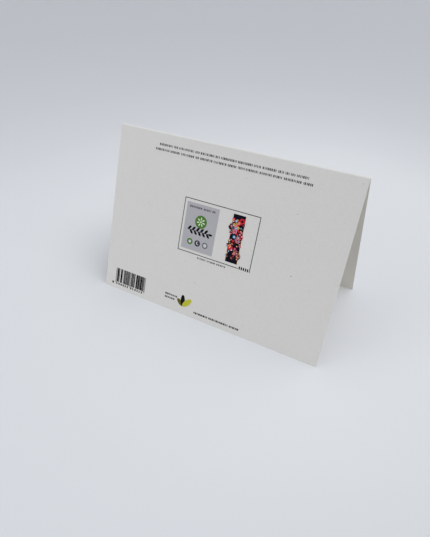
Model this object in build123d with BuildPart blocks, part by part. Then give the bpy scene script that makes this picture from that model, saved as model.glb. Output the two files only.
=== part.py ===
from build123d import *
import os
from math import cos, radians, sin

# Greeting card: one sheet of recycled board, creased across its middle, folded once
# and stood up like a tent. Millimetres and degrees. The fold lies along X, the back
# cover faces -Y, the front cover faces +Y, and Z = 0 is the surface the card stands on.

# Driving dimensions
sheet_length = 210.0  # flat sheet, across the fold (long side of A5)
sheet_width = 148.0  # flat sheet, along the fold (short side of A5)
board_thickness = 0.4  # board of about 300 g per square metre
opening_angle = 41.6  # between the two covers as the card stands
fold_radius = 0.5  # inside of the fold, at the board's inner face
bead_radius = 0.25  # ridge that the creasing rule leaves along the inside of the fold
bead_blend = 0.08  # soft foot of that ridge

# Each cover leans away from the upright by half the opening.
lean = opening_angle / 2
fold_turn = 180 - opening_angle
crown_radius = fold_radius + board_thickness

# The board keeps its length along the middle of its thickness when it is bent.
middle_radius = fold_radius + board_thickness / 2
bent_length = middle_radius * radians(fold_turn)
cover_run = (sheet_length - bent_length) / 2

# The inner corners of the two cut edges touch the surface.
fold_height = cover_run * cos(radians(lean)) - fold_radius * sin(radians(lean))

# Folded card: both covers, the fold and its crease bead are one piece of board.
with BuildPart() as folded_card:
    with BuildSketch(Plane.YZ) as section:
        with BuildLine():
            crown = CenterArc((0, fold_height), crown_radius, lean, fold_turn)
            throat = CenterArc((0, fold_height), fold_radius, lean, fold_turn)
            front_outer = PolarLine(crown @ 0, cover_run, lean - 90)
            front_inner = PolarLine(throat @ 0, cover_run, lean - 90)
            back_outer = PolarLine(crown @ 1, cover_run, -90 - lean)
            back_inner = PolarLine(throat @ 1, cover_run, -90 - lean)
            Line(front_outer @ 1, front_inner @ 1)
            Line(back_outer @ 1, back_inner @ 1)
        make_face()
        throat_top = (0, fold_height + fold_radius)
        with Locations(throat_top):
            Circle(bead_radius)
        bead_feet = section.vertices().sort_by_distance(throat_top)[:2]
        fillet(bead_feet, bead_blend)
    extrude(amount=sheet_width / 2, both=True)

folded_card.part.label = "folded_card"

os.makedirs("parts", exist_ok=True)
export_step(folded_card.part, "parts/folded_card.step")
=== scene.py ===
import math
import random
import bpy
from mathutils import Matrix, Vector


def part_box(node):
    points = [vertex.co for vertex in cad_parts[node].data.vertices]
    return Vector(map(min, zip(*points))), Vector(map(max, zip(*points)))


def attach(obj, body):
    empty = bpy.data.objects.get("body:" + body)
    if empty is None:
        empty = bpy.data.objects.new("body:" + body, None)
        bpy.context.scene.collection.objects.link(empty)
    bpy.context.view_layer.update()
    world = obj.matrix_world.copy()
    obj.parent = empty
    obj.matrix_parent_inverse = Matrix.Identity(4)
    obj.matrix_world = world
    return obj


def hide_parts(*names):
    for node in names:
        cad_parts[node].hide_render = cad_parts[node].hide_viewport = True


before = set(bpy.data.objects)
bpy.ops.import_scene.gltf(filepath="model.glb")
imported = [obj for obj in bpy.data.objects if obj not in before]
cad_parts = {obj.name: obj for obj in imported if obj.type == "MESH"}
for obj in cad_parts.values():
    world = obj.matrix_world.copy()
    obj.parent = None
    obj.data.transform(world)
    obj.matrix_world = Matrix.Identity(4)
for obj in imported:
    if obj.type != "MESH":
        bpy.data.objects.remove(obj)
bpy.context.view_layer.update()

from types import SimpleNamespace

import bpy
from mathutils import Matrix, Vector

bl_info = {
    "name": "Folded Greeting Card",
    "version": (1, 0, 0),
    "blender": (4, 5, 0),
    "location": "3D View > Sidebar > Card",
    "description": "Builds a folded card of recycled board with a printed back cover, and its studio",
    "category": "Add Mesh",
}

MM = 0.001
CARD_NODE = "folded_card"
CARD_BODY = "root"

low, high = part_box(CARD_NODE)


# Settings of the panel

def linear(hex_colour):
    """An sRGB hex colour as the linear red, green and blue that Blender's sockets take."""
    parts = [int(hex_colour[i : i + 2], 16) / 255 for i in (1, 3, 5)]
    return tuple(c / 12.92 if c <= 0.04045 else ((c + 0.055) / 1.055) ** 2.4 for c in parts)


def colour(name, description, hex_colour):
    """A colour swatch, whose default is an sRGB hex colour."""
    return bpy.props.FloatVectorProperty(
        name=name, description=description, default=linear(hex_colour),
        subtype="COLOR", size=3, min=0, max=1,
    )


def length(name, description, default):
    """A length in metres."""
    return bpy.props.FloatProperty(
        name=name, description=description, default=default, min=0,
        unit="LENGTH", subtype="DISTANCE", precision=5,
    )


def position(name, description, default):
    """A place in metres, in the card's frame."""
    return bpy.props.FloatVectorProperty(
        name=name, description=description, default=default,
        unit="LENGTH", subtype="TRANSLATION", precision=5,
    )


def direction(name, description, default):
    """A direction, whose length says nothing."""
    return bpy.props.FloatVectorProperty(
        name=name, description=description, default=default, subtype="DIRECTION"
    )


def angle(name, description, degrees):
    """An angle, given here in degrees."""
    return bpy.props.FloatProperty(
        name=name, description=description, default=math.radians(degrees),
        unit="ROTATION", subtype="ANGLE",
    )


def number(name, description, default):
    """A plain number, such as a lamp's strength."""
    return bpy.props.FloatProperty(name=name, description=description, default=default, min=0)


class CardBoard(bpy.types.PropertyGroup):
    """Sizes and colours of the folded sheet. Its outer sizes come from the frame."""

    thickness: length("Thickness", "Caliper of the board", 0.4 * MM)
    fold_radius: length("Fold radius", "Inside of the fold, at the board's inner face", 0.5 * MM)
    bead_height: length("Crease ridge", "Height of the ridge inside the crease", 0.25 * MM)
    lip: length("Lip", "Narrow faces beside the fold that keep the covers' shading flat", 0.3 * MM)
    opening: angle("Opening", "Angle between the two covers", 41.6)
    bead_spread: angle("Ridge spread", "Angle round the fold from the ridge's top to its foot", 38.0)
    fold_steps: bpy.props.IntProperty(
        name="Fold steps", description="Faces round the bend of the fold", default=32, min=8
    )
    outside: colour("Outside", "Outer faces of both covers", "#CECECC")
    # The inside is the same board as the outside; its warmer tint is painted warm bounce light on the
    # inner faces.
    inside: colour("Inside", "Inner faces of both covers", "#CECBC3")
    cut_edge: colour("Cut edge", "Guillotined edges of the board", "#D8D7D3")
    # The crown colour is partly the fibres that the bend opens and partly a painted highlight along the
    # top of the fold.
    crown: colour("Crown", "Top of the fold, where the bend opens the fibres", "#F7F8F9")
    fleck: colour("Flecks", "Dark specks of recycled pulp", "#857C6C")
    fibre: colour("Fibres", "Loose fibres and small specks in the pulp", "#B1A997")
    speck: colour("Speck", "The one plain dark speck on the back cover", "#3A362F")
    speck_place: position("Speck place", "Where the one plain dark speck is", (0.0482, -0.0216, 0.0430))


class CardInks(bpy.types.PropertyGroup):
    """The printing inks on the back cover."""

    film: length("Ink film", "How far the lowest ink stands proud of the board", 0.012 * MM)
    overprint: length("Overprint step", "How far each ink stands above the one under it", 0.004 * MM)
    depth: length("Ink depth", "Thickness of each mark, most of it in the board", 0.100 * MM)
    text_grey: colour("Text grey", "Rows of fine print and the frame line", "#3A3A39")
    black: colour("Black", "Sprig, bars, bold blocks and part of the corner mark", "#121013")
    panel_grey: colour("Panel grey", "Ground of the information panel", "#A7A7AC")
    panel_violet: colour("Panel violet", "Fine print on the panel", "#55515F")
    badge_green: colour("Badge green", "Round badge and left disc on the panel", "#4A7330")
    badge_pale: colour("Badge pale", "Daisy on the badge", "#C8D6BA")
    slate: colour("Slate", "Middle disc", "#37333F")
    disc_grey: colour("Disc grey", "Ring of the right disc", "#6F6F77")
    pale: colour("Pale", "Light parts of the discs", "#C2C2C6")
    olive: colour("Olive", "Left leaf of the corner mark", "#5F5922")
    lime: colour("Lime", "Right leaf of the corner mark", "#B2B43C")
    navy: colour("Navy", "Ground of the art strip", "#0B0A1B")
    amber: colour("Amber", "Thin edge of the art strip and a few loose petals", "#D89A4A")
    soot: colour("Soot", "Darkest petals", "#0E0B12")
    plum: colour("Plum", "Dark violet petals", "#4A2F49")
    scarlet: colour("Scarlet", "Bright red petals", "#BF2934")
    crimson: colour("Crimson", "Deep red petals", "#9A1F3C")
    rose: colour("Rose", "Pink petals", "#C7758C")
    peach: colour("Peach", "Light warm petals and hearts", "#DC9F80")
    clay: colour("Clay", "Brown petals and hearts", "#B0705F")
    cream: colour("Cream", "Palest hearts and loose petals", "#E6D3C4")
    straw: colour("Straw", "Yellow petals", "#E0C56C")
    sky: colour("Sky", "Blue petals", "#3C82B4")
    mist: colour("Mist", "Pale blue petals", "#9DBDD0")
    leaf: colour("Leaf", "Green loose petals", "#8EA63C")


class CardStudio(bpy.types.PropertyGroup):
    """The paper sweep, the lights and the camera."""

    floor: colour("Floor", "Pale cool paper round the card", "#E5E8ED")
    # The backdrop colour is the floor paper darkened by painted shade far from the card.
    backdrop: colour("Backdrop", "The same paper where it falls into shade far behind", "#C9CCD2")
    # Centre of the paper's painted shade, where it is lightest.
    painted_shade_centre: position("Bright place", "Where the paper is lightest", (0.016, 0.074, 0))
    seen_light: number("Seen light", "Strength of the backdrop's colour past the paper's end", 0.92)
    room_light: number("Room light", "Strength of the even light from all round", 0.415)
    window_light: number("Window light", "Strength of the wide soft light from the right", 1.98)
    window_way: direction("Window way", "Where the wide soft light comes from", (0.78, -0.52, 0.36))
    window_spread: angle("Window spread", "How wide the window light spreads", 90.0)
    rear_light: number("Rear light", "Strength of the wide soft light from behind", 1.13)
    rear_way: direction("Rear way", "Where the light from behind comes from", (0.45, 0.70, 0.55))
    rear_spread: angle("Rear spread", "How wide the light from behind spreads", 80.0)
    lamp_light: number("Lamp light", "Power of the square lamp near the card's left, in watts", 0.56)
    lamp_place: position("Lamp place", "Where the square lamp stands", (-0.36, -0.40, 0.34))
    lamp_side: length("Lamp side", "Side of the square lamp", 0.4)
    camera_place: position("Camera", "Where the camera stands", (0.10169, -0.20513, 0.19392))
    camera_turn: angle("Turn", "Camera's heading, left of the back cover's square view", 28.648)
    camera_dip: angle("Dip", "How far the camera looks down", 37.988)
    camera_roll: angle("Roll", "Camera's small tilt to one side", 0.284)
    film_width: number("Film width", "Width of the camera's frame, in millimetres", 36.0)
    lens: number("Lens", "Focal length, in millimetres", 29.82)


# Modelling steps that the pieces share

def sheet_form(board):
    """The folded sheet's geometry, worked out from the frame's box and the board's sizes: how far a
    cover leans from upright and how far the bend turns, the sheet's width and a cover's flat run, and
    the places and directions of the fold and the covers."""
    lean = board.opening / 2
    crown_radius = board.fold_radius + board.thickness
    fold_height = high.z - crown_radius
    run = (high.y - crown_radius * math.cos(lean)) / math.sin(lean)
    back_up = Vector((0, math.sin(lean), math.cos(lean)))
    back_out = Vector((0, -math.cos(lean), math.sin(lean)))
    return SimpleNamespace(
        lean=lean,
        turn=math.pi - board.opening,
        width=high.x - low.x,
        run=run,
        crown_radius=crown_radius,
        fold_axis=Vector((0, 0, fold_height)),
        back_up=back_up,
        back_out=back_out,
        back_corner=Vector((low.x, 0, fold_height)) + crown_radius * back_out - run * back_up,
        front_down=Vector((0, math.sin(lean), -math.cos(lean))),
    )


def start_piece(name):
    """Deselects everything and adds a plane one metre wide under that name."""
    bpy.ops.object.select_all(action="DESELECT")
    bpy.ops.mesh.primitive_plane_add(size=1)
    piece = bpy.context.object
    piece.name = name
    piece.data.name = name
    return piece


def select_faces(piece, wanted):
    """In edit mode, selects the faces for which wanted(face) is true, by their place or normal."""
    bpy.ops.object.mode_set(mode="OBJECT")
    for part in (*piece.data.vertices, *piece.data.edges):
        part.select = False
    for face in piece.data.polygons:
        face.select = wanted(face)
    bpy.ops.object.mode_set(mode="EDIT")
    bpy.ops.mesh.select_mode(type="FACE")


def select_corners(piece, wanted):
    """In edit mode, selects the vertices for which wanted(position) is true."""
    bpy.ops.mesh.select_mode(type="VERT")
    bpy.ops.mesh.select_all(action="DESELECT")
    bpy.ops.object.mode_set(mode="OBJECT")
    for corner in piece.data.vertices:
        corner.select = wanted(corner.co)
    bpy.ops.object.mode_set(mode="EDIT")


def coat(piece, material):
    """In edit mode, coats the selected faces with that material, which gets a slot where it is new."""
    if material.name not in piece.data.materials:
        piece.data.materials.append(material)
    piece.active_material_index = piece.data.materials.find(material.name)
    bpy.ops.object.material_slot_assign()


def settle(piece):
    """The piece rides with the card."""
    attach(piece, CARD_BODY)


# Materials

def node(tree, kind, inputs=None, **settings):
    """Adds a shader node with its settings, its socket values and its links."""
    made = tree.nodes.new(kind)
    for name, value in settings.items():
        setattr(made, name, value)
    for key, value in (inputs or {}).items():
        if isinstance(value, bpy.types.NodeSocket):
            tree.links.new(value, made.inputs[key])
        else:
            made.inputs[key].default_value = value
    return made


def new_material(name):
    """An empty node material, its tree and its Object coordinates."""
    material = bpy.data.materials.new(name)
    material.use_nodes = True
    tree = material.node_tree
    tree.nodes.clear()
    return material, tree, node(tree, "ShaderNodeTexCoord").outputs["Object"]


def finish_material(tree, inputs):
    """Closes a material with its shader, whose sockets take those numbers and links."""
    shader = node(tree, "ShaderNodeBsdfPrincipled", inputs)
    node(tree, "ShaderNodeOutputMaterial", {"Surface": shader.outputs["BSDF"]})


def per_metre(size):
    """The scale that gives a pattern features of that size in metres."""
    return 1 / size


def shaded(base, share):
    """A linear colour, made darker or lighter."""
    return [c * share for c in base]


def overlay(tree, ground, layers):
    """Lays colours over a ground colour, each where its own mask shows, and gives the mixed colour."""
    shade = (*ground, 1)
    for mask, over in layers:
        mixed = node(tree, "ShaderNodeMix", {0: mask, 6: shade, 7: (*over, 1)}, data_type="RGBA")
        shade = mixed.outputs[2]
    return shade


def fibre_tooth(tree, place, size, depth):
    """A bump of felted fibres: the dry tooth of uncoated stock. Its real grain of 0.05 mm is too fine
    to show, so it is drawn two to seven times as coarse."""
    fibres = node(
        tree, "ShaderNodeTexNoise",
        {"Vector": place, "Scale": per_metre(size), "Detail": 5.0, "Roughness": 0.65},
    ).outputs["Fac"]
    return node(
        tree, "ShaderNodeBump", {"Height": fibres, "Distance": depth, "Strength": 1.0}
    ).outputs["Normal"]


def mottle(tree, place, size, detail, roughness, start, full, most):
    """A mask of uneven patches of that size, which begin where the noise passes start and are at
    their most from full on."""
    patches = node(
        tree, "ShaderNodeTexNoise",
        {"Vector": place, "Scale": per_metre(size), "Detail": detail, "Roughness": roughness},
    ).outputs["Fac"]
    return node(
        tree, "ShaderNodeMapRange",
        {"Value": patches, "From Min": start, "From Max": full, "To Max": most},
    ).outputs[0]


def felt(tree, place, width, stretch, start, full):
    """A mask of fibres of that width, felted in three directions."""
    laid = 0.0
    for degrees in (20, 80, 140):
        along = node(
            tree, "ShaderNodeMapping",
            {"Vector": place, "Rotation": (0, math.radians(degrees), 0), "Scale": (stretch, 1, 1)},
            vector_type="TEXTURE",
        ).outputs[0]
        streaks = node(
            tree, "ShaderNodeTexNoise", {"Vector": along, "Scale": per_metre(width), "Detail": 1.0}
        ).outputs["Fac"]
        laid = node(tree, "ShaderNodeMath", {0: laid, 1: streaks}, operation="MAXIMUM").outputs[0]
    return node(
        tree, "ShaderNodeMapRange", {"Value": laid, "From Min": start, "From Max": full}
    ).outputs[0]


# Share of a particle's radius inside which its mask is full.
SOLID_CORE = 0.6


def specks(tree, place, spacing, radius, stretch=1.0, turned=0.0):
    """A mask of particles set at random in the board's thickness, so each face cuts its own. Stretched
    ones are fibres. Each has its own radius, the given one times the square of a random share, so that
    many are too small to show."""
    along = node(
        tree, "ShaderNodeMapping",
        {"Vector": place, "Rotation": (0, turned, 0), "Scale": (stretch, 1, 1)},
        vector_type="TEXTURE",
    ).outputs[0]
    cells = node(
        tree, "ShaderNodeTexVoronoi", {"Vector": along, "Scale": per_metre(spacing), "Randomness": 1.0}
    ).outputs
    chance = node(tree, "ShaderNodeSeparateColor", {"Color": cells["Color"]}).outputs["Red"]
    reach = node(tree, "ShaderNodeMath", {0: chance, 1: 2.0}, operation="POWER").outputs[0]
    most = radius / spacing
    edge = node(tree, "ShaderNodeMath", {0: reach, 1: most}, operation="MULTIPLY").outputs[0]
    core = node(tree, "ShaderNodeMath", {0: edge, 1: SOLID_CORE}, operation="MULTIPLY").outputs[0]
    return node(
        tree, "ShaderNodeMapRange", {"Value": cells["Distance"], "From Min": edge, "From Max": core}
    ).outputs[0]


def placed_speck(tree, place, middle, radius):
    """A mask of one round particle at a given place."""
    far = node(
        tree, "ShaderNodeVectorMath", {0: place, 1: middle}, operation="DISTANCE"
    ).outputs["Value"]
    return node(
        tree, "ShaderNodeMapRange", {"Value": far, "From Min": radius, "From Max": SOLID_CORE * radius}
    ).outputs[0]


def crown_highlight_mask(tree, place, form, start, most):
    """A mask of the fold's crown: partly the fibres that the bend opens and partly a painted highlight
    along the top. It begins at a share of the bend's height, start, and is at its most along the top."""
    height = node(tree, "ShaderNodeSeparateXYZ", {"Vector": place}).outputs["Z"]
    foot = form.fold_axis.z + form.crown_radius * start
    top = form.fold_axis.z + form.crown_radius
    return node(
        tree, "ShaderNodeMapRange",
        {"Value": height, "From Min": foot, "From Max": top, "To Max": most},
    ).outputs[0]


def recycled_board(name, base, board, form):
    """Uncoated recycled board, calendered and left unprinted. It gives the eye a dull off-white with
    faint clouds where the pulp is thicker, a fine dry tooth of felted fibres, scattered flecks and
    specks, a few loose hairs, and a lighter line along the crown of the fold, partly where the bend
    opens the fibres and partly a painted highlight where the top of the fold faces the light. Real
    fibres are 0.03 mm wide, too fine to show, so bundles of them are drawn."""
    material, tree, place = new_material(name)
    clouds = node(
        tree, "ShaderNodeTexNoise",
        {"Vector": place, "Scale": per_metre(9 * MM), "Detail": 2.0, "Roughness": 0.5},
    ).outputs["Fac"]
    grain = mottle(
        tree, place, size=0.8 * MM, detail=6.0, roughness=0.75, start=0.48, full=0.70, most=0.8
    )
    fibres = felt(tree, place, width=0.22 * MM, stretch=9.0, start=0.60, full=0.72)
    layers = [(clouds, shaded(base, 0.99)), (grain, shaded(base, 0.90)), (fibres, shaded(base, 0.93))]
    for degrees in (10, 55, 100, 145):
        hairs = specks(
            tree, place, spacing=1.5 * MM, radius=0.07 * MM, stretch=16.0, turned=math.radians(degrees)
        )
        layers.append((hairs, board.fibre))
    layers += [
        (specks(tree, place, spacing=4.0 * MM, radius=0.27 * MM), board.fleck),
        (specks(tree, place, spacing=1.9 * MM, radius=0.15 * MM), board.fibre),
        (placed_speck(tree, place, board.speck_place, radius=0.34 * MM), board.speck),
        # Lighter line by height along the top of the fold: partly opened fibres, partly a painted
        # highlight.
        (crown_highlight_mask(tree, place, form, start=0.45, most=0.45), board.crown),
    ]
    finish_material(tree, {
        "Base Color": overlay(tree, shaded(base, 1.01), layers),
        "Roughness": 0.9,
        "IOR": 1.5,
        "Specular IOR Level": 0.3,
        "Normal": fibre_tooth(tree, place, size=0.30 * MM, depth=0.022 * MM),
    })
    return material


def guillotined_edge(name, base):
    """The board's own section, cut square by a guillotine. It gives the eye a rougher edge, a little
    lighter than the faces, whose torn pulp is a fine uneven grain about as coarse as the plies."""
    material, tree, place = new_material(name)
    pulp = node(
        tree, "ShaderNodeTexNoise",
        {"Vector": place, "Scale": per_metre(0.15 * MM), "Detail": 4.0, "Roughness": 0.7},
    ).outputs["Fac"]
    finish_material(tree, {
        "Base Color": overlay(tree, base, [(pulp, shaded(base, 0.86))]),
        "Roughness": 0.95,
        "IOR": 1.47,
        "Specular IOR Level": 0.2,
        "Normal": fibre_tooth(tree, place, size=0.12 * MM, depth=0.03 * MM),
    })
    return material


def offset_ink(name, base):
    """Offset ink, printed on uncoated board and soaked into it. It gives the eye a flat matt colour
    that thins a little where bundles of fibres, 0.5 mm across, stand up through it."""
    material, tree, place = new_material(name)
    thin = mottle(
        tree, place, size=0.5 * MM, detail=4.0, roughness=0.7, start=0.55, full=0.80, most=0.25
    )
    # Where the ink thins, it goes this share of the way to the bare board's light.
    bare, paling = 0.6, 0.05
    paler = [c + (bare - c) * paling for c in base]
    finish_material(tree, {
        "Base Color": overlay(tree, base, [(thin, paler)]),
        "Roughness": 0.8,
        "IOR": 1.48,
        "Specular IOR Level": 0.08,
        "Normal": fibre_tooth(tree, place, size=0.35 * MM, depth=0.008 * MM),
    })
    return material


# The sheet of board

class CARD_OT_add_board(bpy.types.Operator):
    """Model the sheet of board: one cover, the bend, the other cover and the ridge inside the crease"""

    bl_idname = "card.add_board"
    bl_label = "Folded Board"
    bl_options = {"REGISTER", "UNDO"}

    def execute(self, context):
        board = context.scene.card_board
        form = sheet_form(board)
        piece = start_piece("card_sheet")
        # The cut end of the back cover, as wide as the sheet and as deep as the board.
        foot_middle = form.back_corner + Vector((form.width / 2, 0, 0))
        piece.scale = (form.width, board.thickness, 1)
        piece.rotation_euler.x = -form.lean
        piece.location = foot_middle - form.back_out * board.thickness / 2
        bpy.ops.object.transform_apply(location=True, rotation=True, scale=True)
        bpy.ops.object.mode_set(mode="EDIT")
        bpy.ops.mesh.select_mode(type="FACE")
        bpy.ops.mesh.select_all(action="SELECT")
        # Up the back cover, round the bend and down the front cover.
        cover = form.run - board.lip
        for step in (form.back_up * cover, form.back_up * board.lip):
            bpy.ops.mesh.extrude_region_move(TRANSFORM_OT_translate={"value": step})
        bpy.ops.mesh.spin(
            steps=board.fold_steps, angle=form.turn, center=form.fold_axis, axis=(1, 0, 0)
        )
        for step in (form.front_down * board.lip, form.front_down * cover):
            bpy.ops.mesh.extrude_region_move(TRANSFORM_OT_translate={"value": step})
        self.raise_bead(piece, board, form)
        self.finish_faces(piece, board, form)
        bpy.ops.object.mode_set(mode="OBJECT")
        bpy.ops.object.shade_smooth_by_angle(angle=math.radians(30))
        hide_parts(CARD_NODE)
        settle(piece)
        return {"FINISHED"}

    @staticmethod
    def raise_bead(piece, board, form):
        """Draws each row of the fold's inner corners in towards the fold's axis, as far as the ridge is
        high there."""
        near = 0.005 * MM
        for row in range(1, board.fold_steps):
            off_centre = form.turn * (row / board.fold_steps - 0.5)
            if abs(off_centre) >= board.bead_spread:
                continue
            way = Vector((0, math.sin(off_centre), math.cos(off_centre)))
            at = form.fold_axis + board.fold_radius * way
            rise = board.bead_height * (1 + math.cos(math.pi * off_centre / board.bead_spread)) / 2
            select_corners(piece, lambda co: math.hypot(co.y - at.y, co.z - at.z) < near)
            shrink = 1 - rise / board.fold_radius
            bpy.ops.transform.resize(value=(1, shrink, shrink), center_override=form.fold_axis)

    @staticmethod
    def finish_faces(piece, board, form):
        """Gives the outside, the inside and the cut edges their finishes; the inside is the same board
        in a warmer tint of painted bounce light. The cut ends of the covers have their middles below
        foot, and the cut sides face along the fold."""
        foot = 0.3 * MM
        outside = recycled_board("Calendered recycled board outside", board.outside, board, form)
        # The inside's warmer base colour is painted warm bounce light.
        inside = recycled_board("Calendered recycled board inside", board.inside, board, form)
        cut = guillotined_edge("Guillotined recycled board", board.cut_edge)
        choices = (
            (outside, lambda f: abs(f.normal.x) < 0.5 and f.normal.z > 0 and f.center.z > foot),
            (inside, lambda f: abs(f.normal.x) < 0.5 and f.normal.z < 0 and f.center.z > foot),
            (cut, lambda f: abs(f.normal.x) > 0.5 or f.center.z < foot),
        )
        for material, wanted in choices:
            select_faces(piece, wanted)
            coat(piece, material)


# The print

# Sides of a round mark, and the widths and gaps of the blocks in a row of fine print, in millimetres.
DISC_SIDES = 32
BLOCK_WIDTHS = (0.36, 0.52, 0.68, 0.86)
BLOCK_GAPS = (0.28, 0.36, 0.48)
WORD_GAP = 0.6


class Printer:
    """Lays flat marks in a mesh that is open for editing, in millimetres from the back cover's
    lower left corner, and turns them into a film of ink on the cover."""

    def __init__(self, name, inks):
        """Opens an empty mesh under that name."""
        self.piece = start_piece(name)
        self.inks = inks
        bpy.ops.object.mode_set(mode="EDIT")
        bpy.ops.mesh.select_mode(type="FACE")
        bpy.ops.mesh.delete(type="VERT")

    def place(self, x, y, layer):
        """Where a mark of that layer lies over the cover, in metres."""
        return Vector((x * MM, y * MM, self.inks.film + layer * self.inks.overprint))

    def ink(self, name):
        """Gives the selected marks an ink, which is mixed when it is first used."""
        full = f"Offset printed ink {name.replace('_', ' ')}"
        material = bpy.data.materials.get(full) or offset_ink(full, getattr(self.inks, name))
        coat(self.piece, material)

    def block(self, left, bottom, right, top, ink, layer=0):
        """A rectangle."""
        middle = self.place((left + right) / 2, (bottom + top) / 2, layer)
        bpy.ops.mesh.primitive_plane_add(size=1, location=middle)
        size = ((right - left) * MM, (top - bottom) * MM, 1)
        bpy.ops.transform.resize(value=size, center_override=middle)
        self.ink(ink)

    def disc(self, x, y, radius, ink, layer=0, squash=1.0, turned=0.0):
        """A disc, or an ellipse where it is squashed across and turned."""
        middle = self.place(x, y, layer)
        bpy.ops.mesh.primitive_circle_add(
            vertices=DISC_SIDES, radius=radius * MM, fill_type="NGON", location=middle
        )
        if squash != 1.0:
            bpy.ops.transform.resize(value=(1, squash, 1), center_override=middle)
            bpy.ops.transform.rotate(value=-turned, orient_axis="Z", center_override=middle)
        self.ink(ink)

    def ring(self, x, y, outer, inner, ink, layer=0):
        """A ring, made of a disc whose middle is inset and taken out."""
        self.disc(x, y, outer, ink, layer)
        bpy.ops.mesh.inset(thickness=(outer - inner) * MM, depth=0)
        bpy.ops.mesh.delete(type="FACE")

    def leaf(self, x, y, reach, fullness, turned, ink, layer=0):
        """An oval, twice reach long and fullness times as wide, that grows from x, y in the direction
        turned, in degrees from the row's right."""
        way = math.radians(turned)
        self.disc(
            x + reach * math.cos(way), y + reach * math.sin(way), reach, ink, layer,
            squash=fullness, turned=way,
        )

    def greeked_row(self, left, right, base, height, ink, seed, layer=0, bold=1.0, word=(3, 13)):
        """A row of small upright blocks in word-like groups: the look of fine print, with no letters.
        Widths are multiplied by bold, and word gives the fewest and the most blocks in a group."""
        draw = random.Random(seed)
        x = left
        while x < right:
            for _ in range(draw.randint(*word)):
                width = draw.choice(BLOCK_WIDTHS) * bold
                if x + width > right:
                    return
                self.block(x, base, x + width, base + height, ink, layer)
                x += width + draw.choice(BLOCK_GAPS)
            x += WORD_GAP

    def finish(self, form):
        """Thickens the marks, lays them on the back cover and closes the piece."""
        bpy.ops.mesh.select_all(action="SELECT")
        bpy.ops.mesh.extrude_region_move(TRANSFORM_OT_translate={"value": (0, 0, -self.inks.depth)})
        bpy.ops.mesh.select_all(action="SELECT")
        bpy.ops.mesh.normals_make_consistent(inside=False)
        bpy.ops.object.mode_set(mode="OBJECT")
        tilt = Matrix.Rotation(math.pi / 2 - form.lean, 4, "X")
        self.piece.matrix_world = Matrix.Translation(form.back_corner) @ tilt
        bpy.ops.object.transform_apply(location=True, rotation=True, scale=True)
        settle(self.piece)


class CARD_OT_print_text(bpy.types.Operator):
    """Print the four rows of fine print as plain blocks: at the top, under the frame and at the foot"""

    bl_idname = "card.print_text"
    bl_label = "Text Rows"
    bl_options = {"REGISTER", "UNDO"}

    def execute(self, context):
        form = sheet_form(context.scene.card_board)
        printer = Printer("text_rows", context.scene.card_inks)
        row = printer.greeked_row
        row(left=28.5, right=119.9, base=97.55, height=1.3, ink="text_grey", seed=11, bold=0.85)
        row(left=26.2, right=122.0, base=94.65, height=1.3, ink="text_grey", seed=12, bold=0.85)
        row(left=64.6, right=84.7, base=38.08, height=1.0, ink="text_grey", seed=13, bold=0.85)
        row(left=68.6, right=99.4, base=3.25, height=1.2, ink="black", seed=14, bold=1.35, word=(7, 16))
        printer.finish(form)
        return {"FINISHED"}


class CARD_OT_print_frame(bpy.types.Operator):
    """Print the thin frame line, broken at its lower right for a row of bold blocks"""

    bl_idname = "card.print_frame"
    bl_label = "Frame Line"
    bl_options = {"REGISTER", "UNDO"}

    def execute(self, context):
        form = sheet_form(context.scene.card_board)
        printer = Printer("frame_line", context.scene.card_inks)
        self.line(printer)
        self.blocks(printer)
        printer.finish(form)
        return {"FINISHED"}

    @staticmethod
    def line(printer):
        """A rectangle with its middle taken out, and a gap cut in its lower side."""
        left, right, bottom, top = 50.65, 98.7, 40.17, 72.48
        thickness, gap_left, gap_right = 0.45, 91.2, 98.1
        printer.block(left, bottom, right, top, "text_grey")
        bpy.ops.mesh.inset(thickness=thickness * MM, depth=0)
        bpy.ops.mesh.delete(type="FACE")
        for x in (gap_left, gap_right):
            bpy.ops.mesh.select_all(action="SELECT")
            bpy.ops.mesh.bisect(plane_co=(x * MM, 0, 0), plane_no=(1, 0, 0))
        middle = (bottom + top) / 2
        select_faces(
            printer.piece,
            lambda f: gap_left * MM < f.center.x < gap_right * MM and f.center.y < middle * MM,
        )
        bpy.ops.mesh.delete(type="FACE")

    @staticmethod
    def blocks(printer):
        """Five bold blocks in the gap."""
        first, pitch, width = 91.7, 1.3, 0.8
        base, top = 40.05, 41.8
        for block in range(5):
            x = first + pitch * block
            printer.block(x, base, x + width, top, "black")


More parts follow.
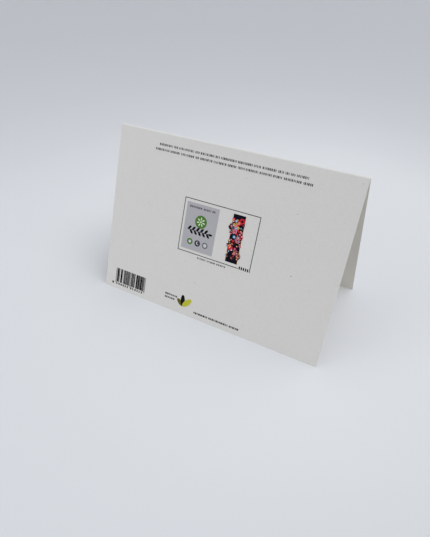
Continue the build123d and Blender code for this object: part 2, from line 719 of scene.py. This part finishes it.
class CARD_OT_print_panel(bpy.types.Operator):
    """Print the grey information panel with its badge, leafy sprig and three discs"""

    bl_idname = "card.print_panel"
    bl_label = "Information Panel"
    bl_options = {"REGISTER", "UNDO"}

    def execute(self, context):
        form = sheet_form(context.scene.card_board)
        printer = Printer("information_panel", context.scene.card_inks)
        printer.block(left=52.55, bottom=42.15, right=73.75, top=70.35, ink="panel_grey")
        printer.greeked_row(
            left=54.5, right=71.8, base=67.4, height=1.15, ink="panel_violet", seed=16, layer=1,
            bold=1.15,
        )
        self.badge(printer)
        self.sprig(printer)
        self.discs(printer)
        printer.finish(form)
        return {"FINISHED"}

    @staticmethod
    def badge(printer):
        """A green disc with a plain daisy of seven pale petals."""
        x, y, radius = 63.2, 60.2, 3.85
        petals, root, reach, fullness, heart = 7, 0.95, 0.92, 0.42, 0.55
        printer.disc(x, y, radius, "badge_green", layer=1)
        for petal in range(petals):
            turned = 90 + petal * 360 / petals
            way = math.radians(turned)
            root_x, root_y = x + root * math.cos(way), y + root * math.sin(way)
            printer.leaf(root_x, root_y, reach, fullness, turned, "badge_pale", layer=2)
        printer.disc(x, y, heart, "badge_pale", layer=2)

    @staticmethod
    def sprig(printer):
        """A bold leafy sprig: a stalk, leaves by turns above and below it, and one at its tip."""
        left, right, y = 55.2, 71.8, 54.3
        half_stalk, pitch, reach, fullness, slant = 0.2, 2.75, 1.45, 0.48, 48
        stalk_end, last_leaf, tip_root, tip_reach = right - 2, right - 3, right - 2.7, 1.35
        above, below = y + half_stalk / 2, y - half_stalk / 2
        printer.block(left, y - half_stalk, stalk_end, y + half_stalk, "black", layer=1)
        x = left + 2 * half_stalk
        while x < last_leaf:
            printer.leaf(x, above, reach, fullness, slant, "black", layer=2)
            printer.leaf(x + pitch / 2, below, reach, fullness, -slant, "black", layer=2)
            x += pitch
        printer.leaf(tip_root, y, tip_reach, fullness, 0, "black", layer=3)

    @staticmethod
    def discs(printer):
        """Three plain discs in a row: one with a dot, one with a crescent and one with a ring."""
        left, middle, right, y, radius = 58.0, 63.1, 68.2, 47.2, 1.9
        dot, crescent, bite, hole = 0.9, 1.0, 0.8, 1.05
        printer.disc(left, y, radius, "badge_green", layer=1)
        printer.disc(left, y, dot, "pale", layer=2)
        printer.disc(middle, y, radius, "slate", layer=1)
        printer.disc(middle + 0.2, y + 0.1, crescent, "pale", layer=2)
        printer.disc(middle + 0.6, y + 0.25, bite, "slate", layer=3)
        printer.disc(right, y, radius, "pale", layer=1)
        printer.ring(right, y, radius, hole, "disc_grey", layer=2)


# Petals of a bloom, and the angle in degrees from one to the next.
PETALS = 5
PETAL_ANGLE = 360 / PETALS

# Petal and heart inks of the blooms. Loose petals have no heart.
LARGE_BLOOMS = (
    ("soot", "clay"), ("scarlet", "peach"), ("plum", "peach"), ("crimson", "rose"), ("scarlet", "soot"),
    ("clay", "soot"), ("soot", "scarlet"), ("peach", "scarlet"), ("soot", "rose"), ("rose", "crimson"),
)
SMALL_BLOOMS = (
    *LARGE_BLOOMS, ("rose", "plum"), ("sky", "cream"), ("straw", "scarlet"), ("mist", "navy"),
)
LOOSE_PETALS = tuple((ink, "") for ink in ("straw", "sky", "mist", "leaf", "peach", "cream", "amber"))

# The beds of the garland, from the lowest up: how many blooms, their least and most radius, their inks,
# how far their line winds from the strip's middle and how far each strays from it, in millimetres.
BEDS = (
    SimpleNamespace(count=30, least=1.25, most=1.8, kinds=LARGE_BLOOMS, sway=3.1, stray=1.2),
    SimpleNamespace(count=32, least=0.65, most=1.05, kinds=SMALL_BLOOMS, sway=0.0, stray=3.9),
    SimpleNamespace(count=40, least=0.22, most=0.45, kinds=LOOSE_PETALS, sway=0.0, stray=5.2),
)


class CARD_OT_print_art(bpy.types.Operator):
    """Print the small picture: a tall dark strip crowded with blooms"""

    bl_idname = "card.print_art"
    bl_label = "Art Strip"
    bl_options = {"REGISTER", "UNDO"}

    def execute(self, context):
        form = sheet_form(context.scene.card_board)
        printer = Printer("art_strip", context.scene.card_inks)
        left, right, bottom, top = 82.4, 90.2, 42.3, 70.5
        edge, bare_foot, bare_top = 0.18, 2.6, 2.8
        printer.block(left, bottom, right, top, "amber")
        printer.block(left + edge, bottom, right - edge, top, "navy", layer=1)
        self.bouquet(printer, (left + right) / 2, bottom + bare_foot, top - bare_top)
        printer.finish(form)
        return {"FINISHED"}

    def bouquet(self, printer, middle, bottom, top):
        """A garland of large blooms that winds up the strip and past both its edges, smaller blooms
        over it and loose petals on top. Each is laid two layers over those that it covers, and every
        fifth place comes first, so that few lie on one another."""
        draw = random.Random(9)
        radians_of_winding = 14
        layers_each = 2
        laid = []
        for bed in BEDS:
            for place in sorted(range(bed.count), key=lambda at: at % 5):
                height = (place + draw.uniform(0.2, 0.8)) / bed.count
                radius = draw.uniform(bed.least, bed.most)
                line = middle + bed.sway * math.sin(radians_of_winding * height)
                x = line + draw.uniform(-bed.stray, bed.stray)
                y = bottom + (top - bottom) * height
                covered = [at for u, v, r, at in laid if math.hypot(u - x, v - y) < r + radius]
                layer = layers_each + max(covered, default=0)
                laid.append((x, y, radius, layer))
                inks = draw.choice(bed.kinds)
                self.bloom(printer, x, y, radius, inks, layer, turned=draw.uniform(0, PETAL_ANGLE))

    @staticmethod
    def bloom(printer, x, y, radius, inks, layer, turned):
        """Five round petals about a heart, each a little above the last and veined where the bloom is
        large, or a plain dot where there is no heart."""
        head, heart = inks
        if not heart:
            printer.disc(x, y, radius, head, layer)
            return
        petal_size, heart_size = 0.5 * radius, 0.42 * radius
        vein_size, vein_fullness, smallest_veined = 0.17 * radius, 0.2, 1.2
        petal_step, vein_step, heart_step = 1 / 8, 3 / 4, 1
        for petal in range(PETALS):
            degrees = turned + PETAL_ANGLE * petal
            way = math.radians(degrees)
            out = petal_size * Vector((math.cos(way), math.sin(way)))
            printer.disc(x + out.x, y + out.y, petal_size, head, layer + petal * petal_step)
            if radius > smallest_veined:
                printer.leaf(
                    x + out.x, y + out.y, vein_size, vein_fullness, degrees, heart, layer + vein_step
                )
        printer.disc(x, y, heart_size, heart, layer + heart_step)


class CARD_OT_print_bars(bpy.types.Operator):
    """Print upright bars that encode nothing, over a row of small blocks"""

    bl_idname = "card.print_bars"
    bl_label = "Plain Bars"
    bl_options = {"REGISTER", "UNDO"}

    def execute(self, context):
        form = sheet_form(context.scene.card_board)
        printer = Printer("plain_bars", context.scene.card_inks)
        draw = random.Random(29)
        self.bars(printer, draw)
        self.blocks(printer, draw)
        printer.finish(form)
        return {"FINISHED"}

    @staticmethod
    def bars(printer, draw):
        """Bars of a few widths between three pairs of thin ones that reach lower. Widths and gaps are
        in modules, the width of the thinnest bar."""
        left, right, bottom, top, tail = 7.8, 31.3, 4.65, 14.3, 0.9
        module = 0.25
        widths, gaps = (1, 1, 2, 3, 5), (0.6, 0.6, 0.6, 0.6, 3.2)
        pair = 3 * module
        pairs = (left, (left + right - pair) / 2, right - pair)
        for x in pairs:
            for bar in (x, x + 2 * module):
                printer.block(bar, bottom - tail, bar + module, top, "black")
        for before, after in zip(pairs, pairs[1:]):
            x, end = before + pair + module, after - module
            while x < end:
                width = min(draw.choice(widths) * module, end - x)
                printer.block(x, bottom, x + width, top, "black")
                x += width + draw.choice(gaps) * module

    @staticmethod
    def blocks(printer, draw):
        """A broad block left of the bars and two groups of six under them."""
        base, top, pitch, widths = 2.75, 4.2, 1.72, (0.7, 0.85, 1.0)
        for first, count, bold in ((5.3, 1, 1.5), (8.7, 6, 1.0), (20.1, 6, 1.0)):
            for block in range(count):
                x = first + pitch * block
                printer.block(x, base, x + draw.choice(widths) * bold, top, "black")


class CARD_OT_print_mark(bpy.types.Operator):
    """Print the plain corner mark: two short rows of small blocks beside a sprout of three leaves"""

    bl_idname = "card.print_mark"
    bl_label = "Corner Mark"
    bl_options = {"REGISTER", "UNDO"}

    def execute(self, context):
        form = sheet_form(context.scene.card_board)
        printer = Printer("corner_mark", context.scene.card_inks)
        root_x, root_y = 60.3, 5.2
        printer.leaf(root_x, root_y, reach=2.9, fullness=0.46, turned=138, ink="olive", layer=0)
        printer.leaf(root_x, root_y, reach=3.7, fullness=0.40, turned=96, ink="black", layer=1)
        printer.leaf(root_x, root_y, reach=4.0, fullness=0.44, turned=48, ink="lime", layer=2)
        # A word of 60 blocks is longer than either row, so neither has a gap.
        unbroken = (60, 60)
        for right, base, seed in ((55.9, 9.2, 31), (54.6, 7.0, 32)):
            printer.greeked_row(
                left=46.8, right=right, base=base, height=1.15, ink="black", seed=seed, bold=1.25,
                word=unbroken,
            )
        printer.finish(form)
        return {"FINISHED"}


# The stage

# Painted shade on the paper: how far it has gone from its floor colour to its darker backdrop colour,
# at a distance in metres from the bright place, where the painted shade is least.
PAPER_PAINTED_SHADE = (
    (0.10, 0.0), (0.15, 0.02), (0.20, 0.25), (0.28, 0.55), (0.40, 0.785), (0.55, 0.90), (0.80, 0.985),
)


class CARD_OT_add_stage(bpy.types.Operator):
    """Add the pale floor and backdrop, the soft light and the camera"""

    bl_idname = "card.add_stage"
    bl_label = "Stage"
    bl_options = {"REGISTER", "UNDO"}

    def execute(self, context):
        studio = context.scene.card_studio
        self.sweep(studio)
        self.world(context, studio)
        self.lamps(context, studio)
        self.camera(context, studio)
        context.scene.view_settings.view_transform = "Standard"
        return {"FINISHED"}

    def sweep(self, studio):
        """A floor that curves up into a backdrop, and faces the camera."""
        half, behind, rise = 3.2, 3.2, 2.6
        bend, bend_steps, near = 1.1, 32, 0.01
        piece = start_piece("paper_sweep")
        bpy.ops.object.mode_set(mode="EDIT")
        bpy.ops.transform.resize(value=(2 * half, half + behind, 1))
        bpy.ops.transform.translate(value=(0, (behind - half) / 2, 0))
        select_corners(piece, lambda co: co.y > behind - near)
        bpy.ops.mesh.select_mode(type="EDGE")
        bpy.ops.mesh.extrude_region_move(TRANSFORM_OT_translate={"value": (0, 0, rise)})
        select_corners(piece, lambda co: co.y > behind - near and co.z < near)
        bpy.ops.mesh.select_mode(type="EDGE")
        bpy.ops.mesh.bevel(offset=bend, segments=bend_steps, profile=0.5)
        bpy.ops.object.mode_set(mode="OBJECT")
        piece.rotation_euler.z = studio.camera_turn
        bpy.ops.object.transform_apply(location=True, rotation=True, scale=True)
        bpy.ops.object.shade_smooth()
        piece.data.materials.append(self.paper(studio))

    @staticmethod
    def paper(studio):
        """Matt studio paper, dyed in the pulp. It gives the eye a pale ground with painted shade, which
        darkens it with the distance from its brightest place."""
        material, tree, place = new_material("Studio paper")
        away = node(
            tree, "ShaderNodeVectorMath", {0: place, 1: studio.painted_shade_centre}, operation="DISTANCE"
        ).outputs["Value"]
        # Painted shade: the paper goes darker towards the backdrop colour with the distance from the
        # bright place.
        shade = node(tree, "ShaderNodeValToRGB", {"Fac": away})
        for at, share in PAPER_PAINTED_SHADE:
            shade.color_ramp.elements.new(at).color = (share, share, share, 1)
        shade.color_ramp.interpolation = "CARDINAL"
        finish_material(tree, {
            "Base Color": overlay(tree, studio.floor, [(shade.outputs["Color"], studio.backdrop)]),
            "Roughness": 0.9,
            "Specular IOR Level": 0.1,
        })
        return material

    @staticmethod
    def world(context, studio):
        """Even light from all round. The camera, mirrors and glass see the backdrop's colour there."""
        world = bpy.data.worlds.new("Studio room")
        context.scene.world = world
        world.use_nodes = True
        tree = world.node_tree
        tree.nodes.clear()
        white, backdrop = (*linear("#FFFFFF"), 1), (*studio.backdrop, 1)
        room = node(tree, "ShaderNodeBackground", {"Color": white, "Strength": studio.room_light})
        seen = node(tree, "ShaderNodeBackground", {"Color": backdrop, "Strength": studio.seen_light})
        rays = node(tree, "ShaderNodeLightPath").outputs
        shown = rays["Is Camera Ray"]
        for ray in (rays["Is Glossy Ray"], rays["Is Transmission Ray"]):
            shown = node(tree, "ShaderNodeMath", {0: shown, 1: ray}, operation="MAXIMUM").outputs[0]
        mixed = node(tree, "ShaderNodeMixShader", {0: shown, 1: room.outputs[0], 2: seen.outputs[0]})
        node(tree, "ShaderNodeOutputWorld", {"Surface": mixed.outputs[0]})

    @staticmethod
    def lamps(context, studio):
        """Wide soft light from the right and from behind, and a square lamp on the left."""
        suns = (
            ("window_light", studio.window_light, studio.window_way, studio.window_spread),
            ("rear_light", studio.rear_light, studio.rear_way, studio.rear_spread),
        )
        for name, strength, way, spread in suns:
            bpy.ops.object.light_add(type="SUN", location=way)
            sun = context.object
            sun.name = name
            sun.data.energy = strength
            sun.data.angle = spread
            sun.rotation_euler = Vector(way).to_track_quat("Z", "Y").to_euler()
        bpy.ops.object.light_add(type="AREA", location=studio.lamp_place)
        lamp = context.object
        lamp.name = "lamp_light"
        lamp.data.energy = studio.lamp_light
        lamp.data.size = studio.lamp_side
        card_middle = Vector((0, 0, high.z / 2))
        to_lamp = Vector(studio.lamp_place) - card_middle
        lamp.rotation_euler = to_lamp.to_track_quat("Z", "Y").to_euler()

    @staticmethod
    def camera(context, studio):
        """The camera stands where the picture was taken from."""
        bpy.ops.object.camera_add()
        camera = context.object
        camera.name = "camera"
        heading = Matrix.Rotation(studio.camera_turn, 4, "Z")
        aim = heading @ Matrix.Rotation(math.pi / 2 - studio.camera_dip, 4, "X")
        roll = Matrix.Rotation(studio.camera_roll, 4, "Z")
        camera.matrix_world = Matrix.Translation(studio.camera_place) @ aim @ roll
        camera.data.sensor_width = studio.film_width
        camera.data.lens = studio.lens
        camera.data.clip_start = 10 * MM
        context.scene.camera = camera


# The add-on

BUILD_ORDER = (
    CARD_OT_add_stage,
    CARD_OT_add_board,
    CARD_OT_print_text,
    CARD_OT_print_frame,
    CARD_OT_print_panel,
    CARD_OT_print_art,
    CARD_OT_print_bars,
    CARD_OT_print_mark,
)


class CARD_PT_sidebar(bpy.types.Panel):
    """The card's build steps and its sizes and colours"""

    bl_label = "Greeting Card"
    bl_idname = "CARD_PT_sidebar"
    bl_space_type = "VIEW_3D"
    bl_region_type = "UI"
    bl_category = "Card"

    def draw(self, context):
        for step in BUILD_ORDER:
            self.layout.operator(step.bl_idname)
        for group in (context.scene.card_board, context.scene.card_inks, context.scene.card_studio):
            box = self.layout.box()
            for name in group.bl_rna.properties.keys():
                if name not in ("rna_type", "name"):
                    box.prop(group, name)


CLASSES = (CardBoard, CardInks, CardStudio, *BUILD_ORDER, CARD_PT_sidebar)


def register():
    """Registers the classes and hangs the settings on the scene."""
    for each in CLASSES:
        bpy.utils.register_class(each)
    bpy.types.Scene.card_board = bpy.props.PointerProperty(type=CardBoard)
    bpy.types.Scene.card_inks = bpy.props.PointerProperty(type=CardInks)
    bpy.types.Scene.card_studio = bpy.props.PointerProperty(type=CardStudio)


def unregister():
    """Takes the settings and the classes away again."""
    del bpy.types.Scene.card_board
    del bpy.types.Scene.card_inks
    del bpy.types.Scene.card_studio
    for each in reversed(CLASSES):
        bpy.utils.unregister_class(each)


def main():
    """Builds the card and its stage."""
    register()
    for step in BUILD_ORDER:
        group, name = step.bl_idname.split(".")
        getattr(getattr(bpy.ops, group), name)()


if __name__ == "__main__":
    main()
